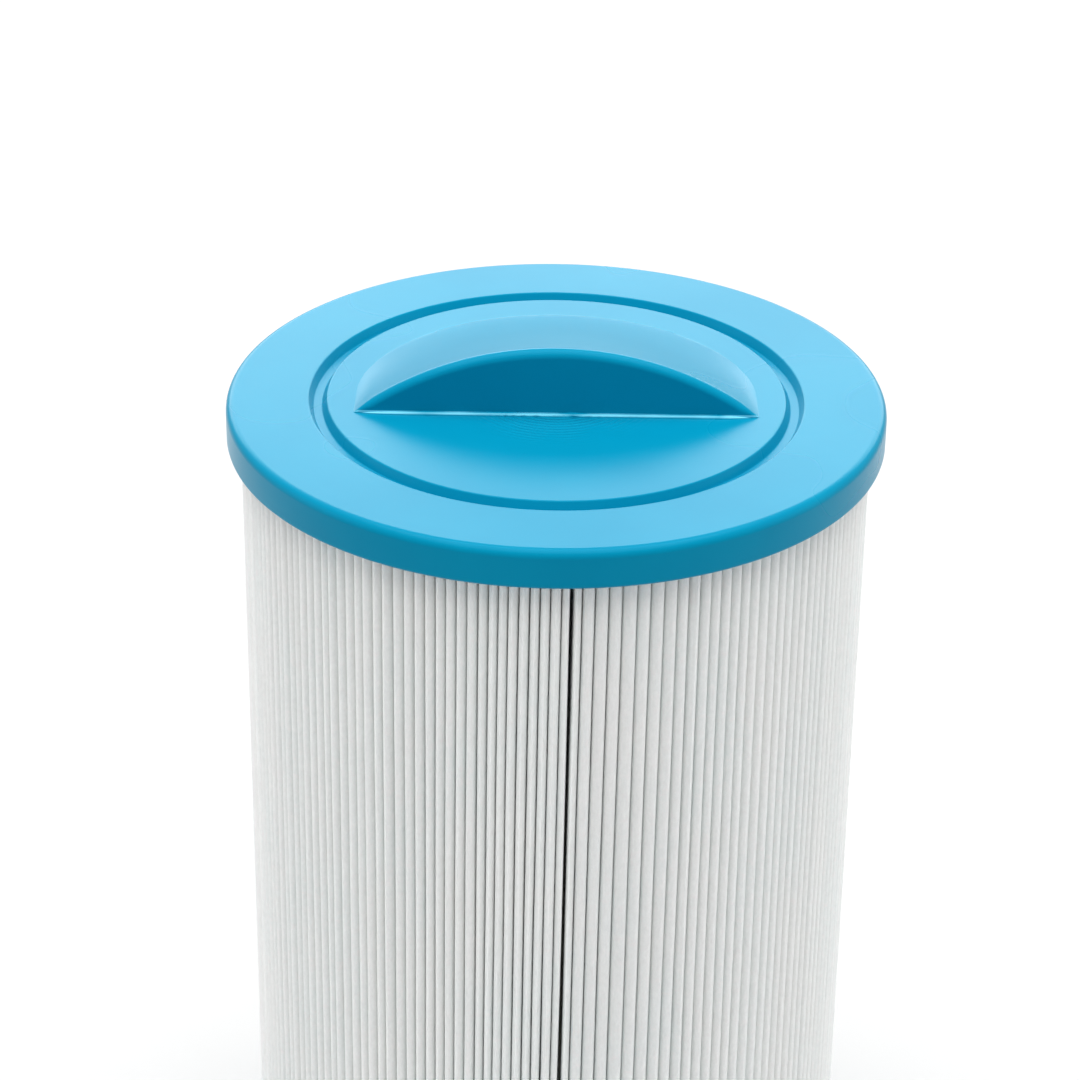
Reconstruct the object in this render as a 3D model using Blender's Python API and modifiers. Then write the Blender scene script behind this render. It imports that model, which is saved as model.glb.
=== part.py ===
# A pleated pool and spa filter cartridge, standing on its threaded adaptor.
# Metres, +Z up, origin at the middle of the adaptor's lower end, grip facing -Y.
import math

import bmesh
import bpy
from mathutils import Matrix, Vector

# Driving dimensions
CAP_RADIUS = 0.0762            # both end caps, a 6 inch class cartridge
CAP_HEIGHT = 0.0093
CAP_FILLET = 0.0020
BODY_LENGTH = 0.23495          # outer face of one cap to outer face of the other, 9-1/4 inch
NIPPLE_LENGTH = 0.0254         # threaded stub below the bottom cap
POTTING_DEPTH = 0.0050         # how far the pleats and the core stand in each cap
GAP = 0.0003                   # left between pieces that touch

GROOVE_INNER = 0.0529
GROOVE_OUTER = 0.0572
GROOVE_DEPTH = 0.0022
GROOVE_DRAFT = 0.0002

GRIP_FACE_Y = -0.0108          # upright flat face of the half-moon grip
GRIP_APEX = 0.0160             # its height above the cap
GRIP_HALF_WIDTH = 0.0457
GRIP_BACK_Y = 0.0446           # where the grip's back runs out on the cap
GRIP_FILLET = 0.0020

MEDIA_OUTER = 0.0731
MEDIA_INNER = 0.0377
MEDIA_THICKNESS = 0.0005
MEDIA_PANELS = 8               # the sheet is divided into panels round the ring
PANEL_PLEATS = 22              # pleats in each, and one more pleat is left open at the seam
TIP_WIDTH = 0.0011
ROOT_WIDTH = 0.00068
SEAM_ANGLE = math.radians(-87.0)
SEAM_BEAD_INNER = 0.0460
SEAM_BEAD_OUTER = 0.0640
SEAM_BEAD_THICKNESS = 0.0012

CORE_OUTER = 0.0373
CORE_INNER = 0.0353
CORE_SECTIONS = 4
SPIGOT_HEIGHT = 0.0030
SPIGOT_OUTER = 0.0361
SOCKET_INNER = 0.0364
CORE_COLUMNS = 8
CORE_ROWS = 2
WINDOW_ARC = math.radians(29.0)
WINDOW_RIB = 0.0055            # solid ring between two rows of windows

BORE_RADIUS = 0.0175
THREAD_ROOT = 0.0216
THREAD_CREST = 0.02365
THREAD_PITCH = 0.0050
THREAD_TURNS = 3.25
THREAD_START = 0.0038
COLLAR_RADIUS = 0.0240
FLANGE_RADIUS = 0.0310
FLANGE_THICKNESS = 0.0027

CAP_STEPS = 60
CORE_STEPS = 32
THREAD_STEPS = 16

# Heights that follow from them
BOTTOM_FACE = NIPPLE_LENGTH
TOP_FACE = BOTTOM_FACE + BODY_LENGTH
SKIRT_INNER = MEDIA_OUTER + 0.0004
HUB_RADIUS = CORE_INNER - GAP
MEDIA_BOTTOM = BOTTOM_FACE + CAP_HEIGHT - POTTING_DEPTH + GAP
MEDIA_TOP = TOP_FACE - CAP_HEIGHT + POTTING_DEPTH - GAP
MEDIA_HEIGHT = MEDIA_TOP - MEDIA_BOTTOM
PLEAT_STEP = 2.0 * math.pi / (MEDIA_PANELS * PANEL_PLEATS + 1)
SECTION_PITCH = (MEDIA_HEIGHT - SPIGOT_HEIGHT) / CORE_SECTIONS


def clear_scene():
    for obj in list(bpy.data.objects):
        bpy.data.objects.remove(obj, do_unlink=True)


def new_collection(name):
    collection = bpy.data.collections.new(name)
    bpy.context.scene.collection.children.link(collection)
    return collection


def plain_material(name, colour, roughness):
    material = bpy.data.materials.new(name)
    material.use_nodes = True
    shader = material.node_tree.nodes["Principled BSDF"]
    shader.inputs["Base Color"].default_value = (*colour, 1.0)
    shader.inputs["Roughness"].default_value = roughness
    shader.inputs["Metallic"].default_value = 0.0
    return material


def add_object(name, mesh, collection, material=None):
    obj = bpy.data.objects.new(name, mesh)
    collection.objects.link(obj)
    if material:
        mesh.materials.append(material)
    return obj


def make_cutter(obj):
    obj.hide_render = True
    obj.display_type = "WIRE"
    return obj


def add_boolean(target, tool, operation):
    modifier = target.modifiers.new(operation.lower(), "BOOLEAN")
    modifier.operation = operation
    modifier.solver = "EXACT"
    modifier.object = tool


def turned(name, profile, steps, collection, material, closed):
    """Spin a profile, given as (radius, height) from the outer top downwards."""
    mesh = bpy.data.meshes.new(name)
    edges = [(i, i + 1) for i in range(len(profile) - 1)]
    if closed:
        edges.append((len(profile) - 1, 0))
    mesh.from_pydata([(radius, 0.0, height) for radius, height in profile], edges, [])
    obj = add_object(name, mesh, collection, material)
    screw = obj.modifiers.new("turn", "SCREW")
    screw.axis = "Z"
    screw.steps = steps
    screw.render_steps = steps
    screw.use_merge_vertices = True
    screw.merge_threshold = 0.00001
    screw.use_smooth_shade = True
    return obj


def rounded_corner(centre, radius, start, end, segments):
    """Points on an arc about (radius, height) centre, angles in degrees."""
    points = []
    for i in range(segments + 1):
        angle = math.radians(start + (end - start) * i / segments)
        points.append((centre[0] + radius * math.cos(angle), centre[1] + radius * math.sin(angle)))
    return points


def grip_face_height(x):
    """Height of the grip's upright face: an arc through its apex and both corners."""
    radius = (GRIP_HALF_WIDTH ** 2 + GRIP_APEX ** 2) / (2.0 * GRIP_APEX)
    return GRIP_APEX - radius + math.sqrt(radius * radius - x * x)


def grip_back_y(x):
    """Outline of the grip on the cap: a circle through its back and both front corners."""
    reach = GRIP_BACK_Y - GRIP_FACE_Y
    radius = (GRIP_HALF_WIDTH ** 2 + reach ** 2) / (2.0 * reach)
    return GRIP_BACK_Y - radius + math.sqrt(max(radius * radius - x * x, 0.0))


def grip_column(x, sink, rows):
    """One lengthwise section of the grip, from the foot of its face to its back edge."""
    height = grip_face_height(x)
    back = grip_back_y(x)
    fillet = min(GRIP_FILLET, 0.6 * max(height, 0.0) + 0.0001)
    points = [(x, GRIP_FACE_Y, -sink)]
    for angle in (180.0, 150.0, 120.0, 90.0):
        y = GRIP_FACE_Y + fillet * (1.0 + math.cos(math.radians(angle)))
        z = height - fillet * (1.0 - math.sin(math.radians(angle)))
        points.append((x, y, z))
    front = GRIP_FACE_Y + fillet
    for i in range(1, rows + 1):
        share = i / rows
        points.append((x, front + (back - front) * share, (height + GAP) * (1.0 - share) - GAP))
    points.append((x, back, -sink))
    return points


def make_grip(collection):
    """Half-moon grip: a loft from the arched upright face to the round outline behind it."""
    columns = 28
    rows = 8
    sink = 0.5 * (CAP_HEIGHT - POTTING_DEPTH)
    edge = 1.006 * GRIP_HALF_WIDTH
    bm = bmesh.new()
    grid = []
    for i in range(columns + 1):
        x = edge * math.sin(math.pi * (i / columns - 0.5))
        grid.append([bm.verts.new(point) for point in grip_column(x, sink, rows)])
    for left, right in zip(grid, grid[1:]):
        for j in range(len(left) - 1):
            bm.faces.new((left[j], right[j], right[j + 1], left[j + 1]))
        bm.faces.new((left[0], left[-1], right[-1], right[0]))
    bm.faces.new(grid[0])
    bm.faces.new(list(reversed(grid[-1])))
    bmesh.ops.recalc_face_normals(bm, faces=bm.faces)
    bmesh.ops.translate(bm, verts=bm.verts, vec=(0.0, 0.0, TOP_FACE))
    mesh = bpy.data.meshes.new("grip_form")
    bm.to_mesh(mesh)
    bm.free()
    return make_cutter(add_object("grip_form", mesh, collection))


def make_top_cap(parts, tools, material):
    ceiling = TOP_FACE - CAP_HEIGHT + POTTING_DEPTH
    rim = TOP_FACE - CAP_HEIGHT
    profile = [
        (0.0, TOP_FACE),
        (GROOVE_INNER, TOP_FACE),
        (GROOVE_INNER + GROOVE_DRAFT, TOP_FACE - GROOVE_DEPTH),
        (GROOVE_OUTER - GROOVE_DRAFT, TOP_FACE - GROOVE_DEPTH),
        (GROOVE_OUTER, TOP_FACE),
    ]
    fillet_centre = (CAP_RADIUS - CAP_FILLET, TOP_FACE - CAP_FILLET)
    profile += rounded_corner(fillet_centre, CAP_FILLET, 90.0, 0.0, 3)
    profile += [
        (CAP_RADIUS, rim + 0.0006),
        (CAP_RADIUS - 0.0006, rim),
        (SKIRT_INNER, rim),
        (SKIRT_INNER, ceiling),
        (HUB_RADIUS, ceiling),
        (HUB_RADIUS, rim),
        (0.0, rim),
    ]
    cap = turned("top_end_cap", profile, CAP_STEPS, parts, material, closed=False)
    add_boolean(cap, make_grip(tools), "UNION")
    return cap


def make_bottom_cap(parts, material):
    floor = BOTTOM_FACE + CAP_HEIGHT - POTTING_DEPTH
    rim = BOTTOM_FACE + CAP_HEIGHT
    hole = COLLAR_RADIUS + GAP
    pocket_low, pocket_high = flange_heights()
    profile = [(CAP_RADIUS - 0.0006, rim), (CAP_RADIUS, rim - 0.0006)]
    fillet_centre = (CAP_RADIUS - CAP_FILLET, BOTTOM_FACE + CAP_FILLET)
    profile += rounded_corner(fillet_centre, CAP_FILLET, 0.0, -90.0, 3)
    profile += [
        (hole, BOTTOM_FACE),
        (hole, pocket_low - GAP),
        (FLANGE_RADIUS + GAP, pocket_low - GAP),
        (FLANGE_RADIUS + GAP, pocket_high + GAP),
        (hole, pocket_high + GAP),
        (hole, rim),
        (HUB_RADIUS, rim),
        (HUB_RADIUS, floor),
        (SKIRT_INNER, floor),
        (SKIRT_INNER, rim),
    ]
    return turned("bottom_end_cap", profile, CAP_STEPS, parts, material, closed=True)


def flange_heights():
    low = BOTTOM_FACE + 0.0025
    return low, low + FLANGE_THICKNESS


def make_thread_form(collection):
    """Helical ridge of the male thread, right-handed, as a closed mesh."""
    ridge = 0.5 * (THREAD_CREST - THREAD_ROOT) + 0.0007
    centre_radius = THREAD_CREST - ridge
    curve = bpy.data.curves.new("thread_ridge", "CURVE")
    curve.dimensions = "3D"
    curve.bevel_depth = ridge
    curve.bevel_resolution = 1
    curve.use_fill_caps = True
    count = int(THREAD_TURNS * THREAD_STEPS) + 1
    spline = curve.splines.new("POLY")
    spline.points.add(count - 1)
    for i, point in enumerate(spline.points):
        angle = 2.0 * math.pi * i / THREAD_STEPS
        height = THREAD_START + THREAD_PITCH * i / THREAD_STEPS
        point.co = (centre_radius * math.cos(angle), centre_radius * math.sin(angle), height, 1.0)
    source = bpy.data.objects.new("thread_ridge", curve)
    collection.objects.link(source)
    depsgraph = bpy.context.evaluated_depsgraph_get()
    mesh = bpy.data.meshes.new_from_object(source.evaluated_get(depsgraph))
    bpy.data.objects.remove(source, do_unlink=True)
    bm = bmesh.new()
    bm.from_mesh(mesh)
    bmesh.ops.remove_doubles(bm, verts=bm.verts, dist=0.00001)
    bmesh.ops.recalc_face_normals(bm, faces=bm.faces)
    bm.to_mesh(mesh)
    bm.free()
    return make_cutter(add_object("thread_form", mesh, collection))


def make_thread_adaptor(parts, tools, material):
    low, high = flange_heights()
    profile = [
        (COLLAR_RADIUS, BOTTOM_FACE + CAP_HEIGHT),
        (COLLAR_RADIUS, high),
        (FLANGE_RADIUS, high),
        (FLANGE_RADIUS, low),
        (COLLAR_RADIUS, low),
        (COLLAR_RADIUS, BOTTOM_FACE - 0.0020),
        (THREAD_ROOT, BOTTOM_FACE - 0.0030),
        (THREAD_ROOT, 0.0010),
        (THREAD_ROOT - 0.0010, 0.0),
        (BORE_RADIUS, 0.0),
        (BORE_RADIUS, BOTTOM_FACE + CAP_HEIGHT),
    ]
    adaptor = turned("thread_adaptor", profile, 2 * THREAD_STEPS, parts, material, closed=True)
    add_boolean(adaptor, make_thread_form(tools), "UNION")
    return adaptor


def pleat_point(angle, offset, radius):
    """A point beside the radial line at angle, offset sideways along the ring."""
    outward = Vector((math.cos(angle), math.sin(angle), 0.0))
    sideways = Vector((-math.sin(angle), math.cos(angle), 0.0))
    return outward * radius + sideways * offset


def pleat_outline(first):
    """Centre line of one panel of the folded sheet in plan, from its first root onwards."""
    tip = MEDIA_OUTER - 0.5 * MEDIA_THICKNESS
    root = MEDIA_INNER + 0.5 * MEDIA_THICKNESS
    half_tip = 0.5 * TIP_WIDTH
    half_root = 0.5 * ROOT_WIDTH
    start = SEAM_ANGLE + (first + 0.5) * PLEAT_STEP
    outline = [pleat_point(start, half_tip, tip)]
    for i in range(PANEL_PLEATS):
        middle = start + (i + 0.5) * PLEAT_STEP
        outline.append(pleat_point(middle, -half_root, root))
        outline.append(pleat_point(middle, half_root, root))
        if i < PANEL_PLEATS - 1:
            outline.append(pleat_point(middle + 0.5 * PLEAT_STEP, -half_tip, tip))
            outline.append(pleat_point(middle + 0.5 * PLEAT_STEP, half_tip, tip))
    outline.append(pleat_point(start + PANEL_PLEATS * PLEAT_STEP, -half_tip, tip))
    return outline


def make_media_panel(index, parts, material):
    """A panel of pleats. It meets the next one in the middle of a fold, with a narrow gap."""
    bm = bmesh.new()
    outline = pleat_outline(index * PANEL_PLEATS)
    verts = [bm.verts.new((point.x, point.y, MEDIA_BOTTOM)) for point in outline]
    edges = [bm.edges.new(pair) for pair in zip(verts, verts[1:])]
    raised = bmesh.ops.extrude_edge_only(bm, edges=edges)
    top = [item for item in raised["geom"] if isinstance(item, bmesh.types.BMVert)]
    bmesh.ops.translate(bm, verts=top, vec=(0.0, 0.0, MEDIA_HEIGHT))
    name = f"pleated_media_{index + 1}"
    mesh = bpy.data.meshes.new(name)
    bm.to_mesh(mesh)
    bm.free()
    panel = add_object(name, mesh, parts, material)
    sheet = panel.modifiers.new("thickness", "SOLIDIFY")
    sheet.thickness = MEDIA_THICKNESS
    sheet.offset = 0.0
    sheet.use_even_offset = True
    return panel


def make_seam_bead(parts, material):
    bm = bmesh.new()
    bmesh.ops.create_cube(bm, size=1.0)
    length = SEAM_BEAD_OUTER - SEAM_BEAD_INNER
    bmesh.ops.scale(bm, verts=bm.verts, vec=(length, SEAM_BEAD_THICKNESS, MEDIA_HEIGHT))
    middle = (0.5 * (SEAM_BEAD_INNER + SEAM_BEAD_OUTER), 0.0, MEDIA_BOTTOM + 0.5 * MEDIA_HEIGHT)
    bmesh.ops.translate(bm, verts=bm.verts, vec=middle)
    mesh = bpy.data.meshes.new("seam_bead")
    bm.to_mesh(mesh)
    bm.free()
    bead = add_object("seam_bead", mesh, parts, material)
    bead.rotation_euler = (0.0, 0.0, SEAM_ANGLE)
    return bead


def window_blocks():
    """All the windows of one core section, as separate radial blocks in one mesh."""
    low = SPIGOT_HEIGHT + WINDOW_RIB
    high = SECTION_PITCH - GAP - WINDOW_RIB
    height = (high - low - (CORE_ROWS - 1) * WINDOW_RIB) / CORE_ROWS
    middle_radius = 0.5 * (CORE_INNER + CORE_OUTER)
    width = 2.0 * middle_radius * math.sin(0.5 * WINDOW_ARC)
    depth = 4.0 * (CORE_OUTER - CORE_INNER)
    bm = bmesh.new()
    for row in range(CORE_ROWS):
        level = low + 0.5 * height + row * (height + WINDOW_RIB)
        for column in range(CORE_COLUMNS):
            block = bmesh.ops.create_cube(bm, size=1.0)["verts"]
            bmesh.ops.scale(bm, verts=block, vec=(depth, width, height))
            bmesh.ops.translate(bm, verts=block, vec=(middle_radius, 0.0, level))
            turn = Matrix.Rotation(2.0 * math.pi * (column + 0.5) / CORE_COLUMNS, 3, "Z")
            bmesh.ops.rotate(bm, verts=block, cent=(0.0, 0.0, 0.0), matrix=turn)
    mesh = bpy.data.meshes.new("window_blocks")
    bm.to_mesh(mesh)
    bm.free()
    return mesh


def make_core_sections(parts, tools, material):
    """Moulded sections of the support core, each standing in the socket of the next."""
    body = SECTION_PITCH - GAP
    profile = [
        (SPIGOT_OUTER, SECTION_PITCH + SPIGOT_HEIGHT - GAP),
        (SPIGOT_OUTER, body),
        (CORE_OUTER, body),
        (CORE_OUTER, 0.0),
        (SOCKET_INNER, 0.0),
        (SOCKET_INNER, SPIGOT_HEIGHT + GAP),
        (CORE_INNER, SPIGOT_HEIGHT + GAP),
        (CORE_INNER, SECTION_PITCH + SPIGOT_HEIGHT - GAP),
    ]
    window_mesh = window_blocks()
    for i in range(CORE_SECTIONS):
        section = turned(f"core_section_{i + 1}", profile, CORE_STEPS, parts, material, closed=True)
        windows = make_cutter(add_object(f"window_form_{i + 1}", window_mesh, tools))
        add_boolean(section, windows, "DIFFERENCE")
        lift = MEDIA_BOTTOM + i * SECTION_PITCH
        section.location.z = lift
        windows.location.z = lift


def main():
    clear_scene()
    parts = new_collection("filter_cartridge")
    tools = new_collection("forms_and_cutters")
    blue = plain_material("blue_cap", (0.010, 0.400, 0.640), 0.30)
    white_media = plain_material("white_media", (0.780, 0.800, 0.780), 0.90)
    white_plastic = plain_material("white_plastic", (0.800, 0.810, 0.800), 0.45)
    clear_glue = plain_material("seam_glue", (0.820, 0.790, 0.700), 0.40)
    make_top_cap(parts, tools, blue)
    make_bottom_cap(parts, blue)
    for i in range(MEDIA_PANELS):
        make_media_panel(i, parts, white_media)
    make_seam_bead(parts, clear_glue)
    make_core_sections(parts, tools, white_plastic)
    make_thread_adaptor(parts, tools, white_plastic)


main()
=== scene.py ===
import math
import random

import bmesh
import bpy
from mathutils import Matrix, Vector, noise


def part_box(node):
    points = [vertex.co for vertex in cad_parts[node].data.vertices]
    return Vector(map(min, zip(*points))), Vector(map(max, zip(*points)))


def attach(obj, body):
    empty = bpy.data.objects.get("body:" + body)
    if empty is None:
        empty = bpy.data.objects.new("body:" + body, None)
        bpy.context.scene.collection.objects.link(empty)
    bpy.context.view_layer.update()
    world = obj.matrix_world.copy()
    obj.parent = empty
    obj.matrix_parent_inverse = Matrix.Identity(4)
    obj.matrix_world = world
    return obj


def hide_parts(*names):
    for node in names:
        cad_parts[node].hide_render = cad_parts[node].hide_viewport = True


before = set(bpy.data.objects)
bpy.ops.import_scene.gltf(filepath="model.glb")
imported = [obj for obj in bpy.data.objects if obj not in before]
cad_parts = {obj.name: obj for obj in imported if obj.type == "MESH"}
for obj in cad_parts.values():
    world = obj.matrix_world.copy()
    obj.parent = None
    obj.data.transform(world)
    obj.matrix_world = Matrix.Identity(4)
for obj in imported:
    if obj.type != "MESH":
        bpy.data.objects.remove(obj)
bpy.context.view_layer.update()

# every piece takes its heights, and the caps their radius, from the parts in model.glb
capLow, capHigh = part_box("top_end_cap")
bottomLow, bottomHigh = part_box("bottom_end_cap")
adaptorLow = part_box("thread_adaptor")[0]
capRadius = capHigh.x
capThickness = bottomHigh.z - bottomLow.z
topFace = capLow.z + capThickness
gripApex = capHigh.z - topFace
mediaNodes = sorted(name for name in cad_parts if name.startswith("pleated_media"))
coreNodes = sorted(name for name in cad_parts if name.startswith("core_section"))
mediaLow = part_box(mediaNodes[0])[0].z
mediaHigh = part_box(mediaNodes[0])[1].z

levelNormal = 0.9           # a face whose normal is this near to upright is level
nearCircle = 0.00004        # how far off a circle its corners may be
fineMerge = 0.000002        # corners closer than this become one
softenOver = math.radians(40.0)  # edges sharper than this are rounded
fullTurn = 2.0 * math.pi


def pickOnly(obj):
    bpy.ops.object.select_all(action="DESELECT")
    obj.select_set(True)
    bpy.context.view_layer.objects.active = obj


def newest(name):
    obj = bpy.context.active_object
    obj.name = name
    obj.data.name = name
    return obj


# kind is verts, edges or faces
def selectInEdit(obj, kind, test):
    mesh = bmesh.from_edit_mesh(obj.data)
    for item in list(mesh.verts) + list(mesh.edges) + list(mesh.faces):
        item.select = False
    for item in getattr(mesh, kind):
        if test(item):
            item.select_set(True)
    bmesh.update_edit_mesh(obj.data)


def middleOf(item):
    total = Vector()
    for vert in item.verts:
        total += vert.co
    return total / len(item.verts)


def ringRadius(point):
    return math.hypot(point.x, point.y)


def onCircle(edge, radius, height):
    return all(abs(ringRadius(vert.co) - radius) < nearCircle and abs(vert.co.z - height) < nearCircle
               for vert in edge.verts)


def editMode(kind):
    bpy.ops.object.mode_set(mode="EDIT")
    bpy.ops.mesh.select_mode(type=kind)


def objectMode():
    bpy.ops.object.mode_set(mode="OBJECT")


def placeInMesh(obj):
    pickOnly(obj)
    bpy.ops.object.transform_apply(location=True, rotation=True, scale=True)


def useModifier(obj, kind, **values):
    pickOnly(obj)
    modifier = obj.modifiers.new(kind.lower(), kind)
    for key, value in values.items():
        setattr(modifier, key, value)
    bpy.ops.object.modifier_apply(modifier=modifier.name)


def softenEdges(obj, width, segments):
    useModifier(obj, "BEVEL", width=width, segments=segments, limit_method="ANGLE", angle_limit=softenOver)


def unite(obj, other):
    useModifier(obj, "BOOLEAN", operation="UNION", solver="EXACT", object=other)
    bpy.data.objects.remove(other, do_unlink=True)


def cleanUp(obj, merge=0.00001):
    pickOnly(obj)
    editMode("VERT")
    bpy.ops.mesh.select_all(action="SELECT")
    bpy.ops.mesh.remove_doubles(threshold=merge)
    bpy.ops.mesh.normals_make_consistent(inside=False)
    objectMode()


def shade(obj, degrees):
    pickOnly(obj)
    bpy.ops.object.shade_smooth_by_angle(angle=math.radians(degrees))


# keeps the broad flat faces flat where they meet a fillet
def levelFlats(obj):
    useModifier(obj, "WEIGHTED_NORMAL", mode="FACE_AREA", weight=50, keep_sharp=True)


def finishPiece(obj, material, nodes):
    obj.data.materials.clear()
    obj.data.materials.append(material)
    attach(obj, "root")
    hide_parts(*nodes)
    print("made", obj.name, len(obj.data.polygons), "faces")


# a short way to add and link nodes in one material
class Shading:
    def __init__(self, name):
        self.material = bpy.data.materials.new(name)
        self.material.use_nodes = True
        self.tree = self.material.node_tree
        self.shader = self.tree.nodes["Principled BSDF"]
        self.place = self.tree.nodes.new("ShaderNodeTexCoord").outputs["Object"]

    def node(self, kind, links=None, **values):
        made = self.tree.nodes.new(kind)
        for key, value in values.items():
            if key in made.inputs:
                made.inputs[key].default_value = value
            else:
                setattr(made, key, value)
        for key, source in (links or {}).items():
            self.tree.links.new(source, made.inputs[key])
        return made

    def stretched(self, scale):
        made = self.node("ShaderNodeMapping", {"Vector": self.place})
        made.inputs["Scale"].default_value = scale
        return made.outputs["Vector"]

    def clouds(self, scale, detail=4.0, roughness=0.55, vector=None):
        made = self.node("ShaderNodeTexNoise", {"Vector": vector or self.place})
        made.inputs["Scale"].default_value = scale
        made.inputs["Detail"].default_value = detail
        made.inputs["Roughness"].default_value = roughness
        return made.outputs["Fac"]

    def remap(self, source, low, high, toLow, toHigh):
        made = self.node("ShaderNodeMapRange", {"Value": source})
        for key, value in zip(("From Min", "From Max", "To Min", "To Max"), (low, high, toLow, toHigh)):
            made.inputs[key].default_value = value
        return made.outputs["Result"]

    def maths(self, operation, first, second=None):
        made = self.node("ShaderNodeMath", operation=operation)
        for socket, value in zip(made.inputs, (first, second)):
            if isinstance(value, (int, float)):
                socket.default_value = value
            elif value is not None:
                self.tree.links.new(value, socket)
        return made.outputs["Value"]

    def mixColour(self, factor, first, second, blend="MIX"):
        made = self.node("ShaderNodeMix", data_type="RGBA", blend_type=blend)
        for socket, value in zip((made.inputs[0], made.inputs[6], made.inputs[7]), (factor, first, second)):
            if isinstance(value, (int, float)):
                socket.default_value = value
            elif isinstance(value, tuple):
                socket.default_value = (*value, 1.0)
            else:
                self.tree.links.new(value, socket)
        return made.outputs[2]

    def bump(self, height, strength, distance, under=None):
        links = {"Height": height}
        if under:
            links["Normal"] = under
        made = self.node("ShaderNodeBump", links)
        made.inputs["Strength"].default_value = strength
        made.inputs["Distance"].default_value = distance
        return made.outputs["Normal"]

    def plug(self, name, source):
        self.tree.links.new(source, self.shader.inputs[name])

    def fix(self, **values):
        for key, value in values.items():
            self.shader.inputs[key.replace("_", " ")].default_value = value


blueLook = {
    "colour": (0.0012, 0.258, 0.408),
    "deeper": (0.0010, 0.243, 0.390),
    "cloudScale": 28.0,
    "roughness": 0.28,
    "roughnessSpread": 0.025,
    "smearScale": 14.0,
    "peel": 0.02,                   # the faint waviness that casting leaves
    "specularTint": (0.10, 0.14, 0.18, 1.0),
    "toolMarkRadius": 0.027,        # the turned rings in front of the grip, out from the axis
    "toolMarkPitch": 0.0013,
    "toolMarkWobble": 1.5,
    "toolMarkRoughness": 0.42,
    "toolMarkDepth": 0.0002,
    # painted highlight: the paler blue given to the top of the flash line
    "flashHighlightColour": (0.20, 0.62, 0.78),
    "flashHalf": 0.0004,
    "flashFade": 0.0003,
    "flashTop": 0.0007,
}


def blueCast():
    paint = Shading("blueCast")
    look = blueLook
    place = paint.node("ShaderNodeSeparateXYZ", {"Vector": paint.place}).outputs
    cloud = paint.remap(paint.clouds(look["cloudScale"], 3.0), 0.35, 0.65, 0.0, 1.0)
    base = paint.mixColour(cloud, look["colour"], look["deeper"])

    # painted highlight: a paler blue on the top of the raised flash line along the foot of the grip's face,
    # standing in for the light it catches
    flashY = gripLook["faceY"] - look["flashHalf"]
    flashTop = topFace + look["flashTop"]
    across = paint.maths("ABSOLUTE", paint.maths("SUBTRACT", place["Y"], flashY))
    highlightBand = paint.remap(across, look["flashHalf"], look["flashHalf"] + look["flashFade"], 1.0, 0.0)
    aboveFlat = paint.remap(place["Z"], topFace + 0.00008, topFace + 0.0002, 0.0, 1.0)
    belowFace = paint.remap(place["Z"], flashTop - 0.0002, flashTop, 1.0, 0.0)
    highlightBand = paint.maths("MULTIPLY", highlightBand, paint.maths("MULTIPLY", aboveFlat, belowFace))
    paint.plug("Base Color", paint.mixColour(highlightBand, base, look["flashHighlightColour"]))

    # turned rings on the flat in front of the grip, where patches of them show
    radius = paint.maths("SQRT", paint.maths("ADD", paint.maths("POWER", place["X"], 2.0),
                                             paint.maths("POWER", place["Y"], 2.0)))
    turns = paint.maths("MULTIPLY", radius, fullTurn / look["toolMarkPitch"])
    wobble = paint.remap(paint.clouds(140.0, 2.0), 0.0, 1.0, -look["toolMarkWobble"], look["toolMarkWobble"])
    rings = paint.maths("SINE", paint.maths("ADD", turns, wobble))
    reach = paint.remap(radius, 0.35 * look["toolMarkRadius"], look["toolMarkRadius"], 1.0, 0.0)
    patch = paint.remap(paint.clouds(60.0, 2.0), 0.40, 0.62, 0.0, 1.0)
    overFlat = paint.remap(place["Z"], topFace - 0.0004, topFace - 0.0001, 0.0, 1.0)
    underGrip = paint.remap(place["Z"], topFace + 0.0001, topFace + 0.0004, 1.0, 0.0)
    inFront = paint.remap(place["Y"], -0.010, -0.012, 0.0, 1.0)
    worn = paint.maths("MULTIPLY", paint.maths("MULTIPLY", reach, patch),
                       paint.maths("MULTIPLY", overFlat, underGrip))
    worn = paint.maths("MULTIPLY", worn, inFront)

    low = look["roughness"] - look["roughnessSpread"]
    high = look["roughness"] + look["roughnessSpread"]
    smear = paint.remap(paint.clouds(look["smearScale"], 2.0, 0.5), 0.35, 0.65, low, high)
    rough = paint.maths("MULTIPLY", worn, look["toolMarkRoughness"])
    paint.plug("Roughness", paint.maths("ADD", smear, rough))
    peel = paint.bump(paint.clouds(160.0, 1.0), look["peel"], 0.0002)
    grain = paint.bump(paint.clouds(900.0, 2.0), look["peel"], 0.00005, peel)
    marks = paint.maths("MULTIPLY", rings, worn)
    paint.plug("Normal", paint.bump(marks, 0.8, look["toolMarkDepth"], grain))
    paint.fix(IOR=1.5, Specular_Tint=look["specularTint"])
    return paint.material


feltLook = {
    "colour": (0.935, 0.950, 0.935),
    "cool": (0.900, 0.940, 0.930),
    "warm": (0.950, 0.940, 0.930),
    "roughness": 0.92,
    "roughnessSpread": 0.05,
    "blotchScale": 420.0,
    "fibreScale": 1500.0,
    "glow": 0.6,                    # light that passes into the felt and back out
    "glowDepth": 0.0025,
}


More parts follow.
